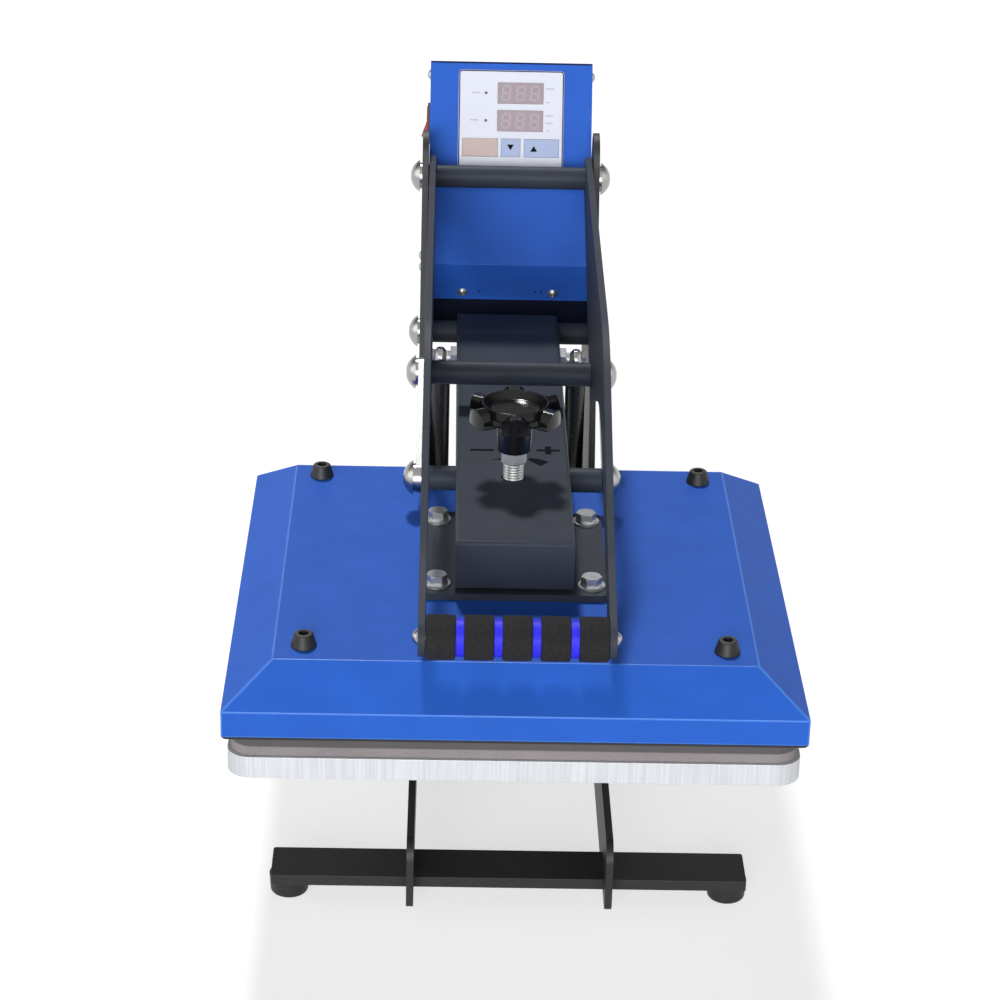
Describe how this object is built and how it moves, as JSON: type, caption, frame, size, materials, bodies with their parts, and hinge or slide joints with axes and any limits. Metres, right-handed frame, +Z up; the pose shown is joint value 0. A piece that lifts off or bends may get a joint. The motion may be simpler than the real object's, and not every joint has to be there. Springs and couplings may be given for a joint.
{
  "type": "flat heat press",
  "caption": "Clamshell flat heat press: hinged upper platen on a press arm, toggle lever with foam grip, pressure handwheel, gas struts and a control box at the back.",
  "frame": {"origin": "on the ground under the middle of the bounding box", "axes": "+X to the operator's right, +Y from the handle to the control box, +Z up"},
  "size_m": [0.386, 0.7106, 0.4396],
  "materials": {
    "base_black": "powder coat",
    "frame_grey": "powder coat",
    "press_blue": "satin powder coat",
    "milled_aluminium": "milled",
    "coated_aluminium": "non-stick coating",
    "grey_silicone": "matt",
    "black_rubber": "matt",
    "black_foam": "foam",
    "zinc_steel": "zinc plated",
    "polished_chrome": "polished",
    "black_gloss": "glossy",
    "black_enamel": "enamel",
    "black_plastic": "matt",
    "ring_blue": "satin",
    "panel_white": "printed film",
    "display_tint": "tinted",
    "led_red": "clear",
    "key_peach": "printed film",
    "key_blue": "printed film",
    "rocker_red": "glossy",
    "board_green": "circuit board",
    "mineral_wool": "felted"
  },
  "bodies": {
    "base": {"base_side_left": "base_black", "base_side_right": "base_black", "front_crossbar": "base_black", "rear_crossbar": "base_black", "rubber_feet": "black_rubber", "foot_screws": "zinc_steel", "bed_bars": "base_black", "platen_screws": "zinc_steel", "lower_platen": "milled_aluminium", "silicone_pad": "grey_silicone", "lever_pivot_rod": "frame_grey", "arm_hinge_rod": "frame_grey", "frame_bolts": "polished_chrome", "strut_base_studs": "zinc_steel", "control_box": "press_blue", "box_back_cover": "press_blue", "box_screws": "zinc_steel", "control_panel": "panel_white", "display_windows": "display_tint", "status_leds": "led_red", "controller_board": "board_green", "power_relay": "black_plastic", "switch_housing": "black_plastic", "cord_gland": "black_plastic"},
    "set_key": {"set_key": "key_peach"},
    "down_key": {"down_key": "key_blue"},
    "up_key": {"up_key": "key_blue"},
    "rocker": {"switch_rocker": "rocker_red"},
    "arm": {"press_arm": "frame_grey", "arm_hinge_tube": "zinc_steel", "pressure_nut": "zinc_steel", "toggle_rod": "frame_grey", "strut_arm_studs": "zinc_steel"},
    "carriage": {"mounting_plate": "frame_grey", "guide_block": "milled_aluminium", "mounting_bolts": "zinc_steel", "mounting_washers": "zinc_steel", "spacer_sleeves": "zinc_steel", "platen_cover": "press_blue", "insulation_sheet": "mineral_wool", "heat_platen": "coated_aluminium", "heating_element": "zinc_steel", "rubber_bumpers": "black_rubber", "heater_grommet": "black_rubber"},
    "screw": {"pressure_screw": "zinc_steel", "lock_nut": "zinc_steel", "handwheel": "black_gloss"},
    "lever": {"lever_plate_left": "frame_grey", "lever_plate_right": "frame_grey", "lever_rod": "frame_grey", "lever_bolts": "polished_chrome", "grip_core": "zinc_steel", "foam_grip": "black_foam", "grip_rings": "ring_blue", "grip_screws": "polished_chrome"},
    "links": {"toggle_links": "polished_chrome", "link_bolts": "polished_chrome"},
    "strut_bodies": {"strut_cylinders": "black_enamel"},
    "strut_pistons": {"strut_rods": "polished_chrome"}
  },
  "joints": [
    {"name": "arm_hinge", "type": "hinge", "parent": "base", "child": "arm", "pos_m": [0, 0.21175, 0.2346], "axis": [-1, 0, 0], "range_deg": [0, 60]},
    {"name": "lever_swing", "type": "hinge", "parent": "base", "child": "lever", "pos_m": [0, 0.22975, 0.3613], "axis": [-1, 0, 0], "range_deg": [0, 88.53]},
    {"name": "link_swing", "type": "hinge", "parent": "lever", "child": "links", "pos_m": [0, 0.02214, 0.27396], "axis": [1, 0, 0], "range_deg": [0, 113.63]},
    {"name": "strut_swing", "type": "hinge", "parent": "base", "child": "strut_bodies", "pos_m": [0, 0.13375, 0.071], "axis": [-1, 0, 0], "range_deg": [0, 8.35]},
    {"name": "strut_stroke", "type": "slide", "parent": "strut_bodies", "child": "strut_pistons", "axis": [0, 0.0655, 0.9979], "range_m": [0, 0.06075]},
    {"name": "carriage_slide", "type": "slide", "parent": "arm", "child": "carriage", "axis": [0, 0, 1], "range_m": [0, 0.003]},
    {"name": "handwheel_turn", "type": "hinge", "parent": "carriage", "child": "screw", "pos_m": [0, -0.11625, 0.3], "axis": [0, 0, 1], "range_deg": [0, 540.1]},
    {"name": "set_key_press", "type": "slide", "parent": "base", "child": "set_key", "axis": [0, 0.9135, -0.4067], "range_m": [0, 0.0008], "stiffness_N_per_m": 300},
    {"name": "down_key_press", "type": "slide", "parent": "base", "child": "down_key", "axis": [0, 0.9135, -0.4067], "range_m": [0, 0.0008], "stiffness_N_per_m": 300},
    {"name": "up_key_press", "type": "slide", "parent": "base", "child": "up_key", "axis": [0, 0.9135, -0.4067], "range_m": [0, 0.0008], "stiffness_N_per_m": 300},
    {"name": "rocker_tilt", "type": "hinge", "parent": "base", "child": "rocker", "pos_m": [-0.0628, 0.29026, 0.38657], "axis": [0, -0.9135, 0.4067], "range_deg": [0, 20]}
  ],
  "couplings": [
    {"joint": "lever_swing", "follows": "arm_hinge", "ratio": 1.4755},
    {"joint": "link_swing", "follows": "arm_hinge", "ratio": 1.8938},
    {"joint": "strut_swing", "follows": "arm_hinge", "ratio": 0.13918},
    {"joint": "strut_stroke", "follows": "arm_hinge", "m_per_rad": 0.058011},
    {"joint": "handwheel_turn", "follows": "carriage_slide", "rad_per_m": 3141.6}
  ]
}
